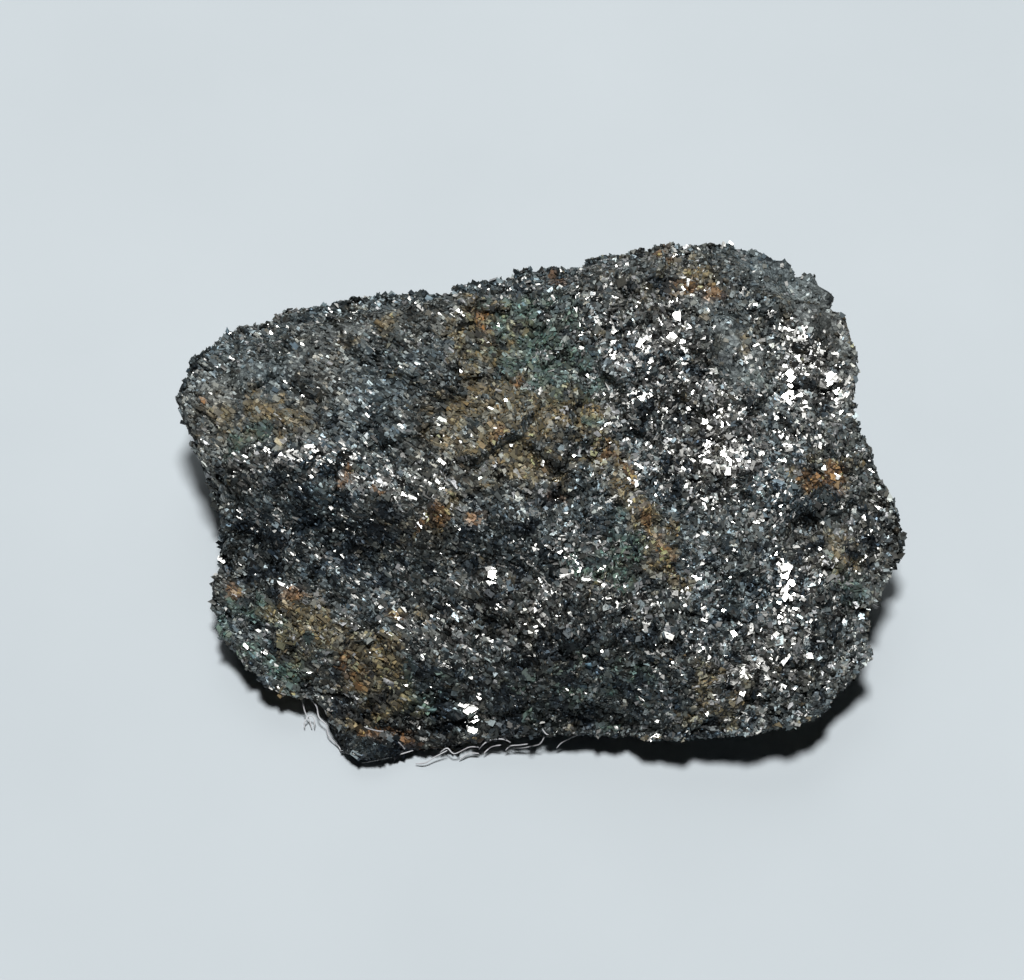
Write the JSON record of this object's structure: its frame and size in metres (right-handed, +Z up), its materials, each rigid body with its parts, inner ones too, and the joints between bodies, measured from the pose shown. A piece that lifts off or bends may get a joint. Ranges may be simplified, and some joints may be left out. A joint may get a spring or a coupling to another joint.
{
  "type": "vaesite specimen",
  "caption": "Thumb-sized chip of granular grey metallic sulfide ore with a stepped, crystal-studded upper face, green and rust stains, and a flat underside to rest on.",
  "frame": {"origin": "under the middle of the stone, on the surface that it rests on", "axes": "+X along the stone's longest side, towards the end with the sparkling crystals; +Y away from the viewer, towards the high edge; +Z up"},
  "size_m": [0.03, 0.0218, 0.0095],
  "materials": {
    "ore": "rough, with a metallic sparkle",
    "lint": "fine soft fibre"
  },
  "bodies": {
    "root": {"vaesite_stone": "ore"}
  },
  "joints": []
}
